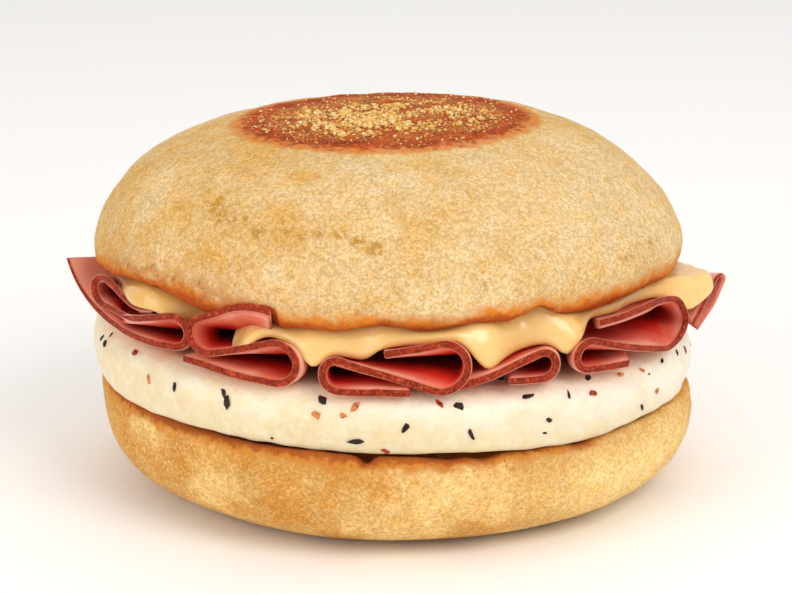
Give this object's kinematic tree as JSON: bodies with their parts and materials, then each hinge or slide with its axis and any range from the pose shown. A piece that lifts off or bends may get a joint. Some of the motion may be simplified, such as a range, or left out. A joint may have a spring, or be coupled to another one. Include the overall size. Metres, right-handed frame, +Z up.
{
  "type": "breakfast sandwich",
  "caption": "Split round muffin filled with an egg patty, folded slices of ham and a melted slice of cheese.",
  "frame": {"origin": "on the surface it rests on, under the middle of the sandwich", "axes": "+Z up, -Y towards the viewer of the picture, +X to the viewer's right"},
  "size_m": [0.1092, 0.0987, 0.0601],
  "materials": {
    "muffin": "baked, floury and matt, golden at the sides and orange-brown along the edges",
    "egg": "cooked egg, soft gloss",
    "ham": "moist pink meat with a brick-red rind along its edge",
    "cheese": "melted, glossy",
    "pepper": "dry, cracked, matt",
    "cornmeal": "dry grains, matt"
  },
  "bodies": {
    "root": {"muffin_heel": "muffin", "egg": "egg", "ham_1": "ham", "ham_2": "ham", "ham_3": "ham", "ham_4": "ham", "ham_5": "ham", "ham_6": "ham", "cheese": "cheese", "muffin_top": "muffin"}
  },
  "joints": []
}
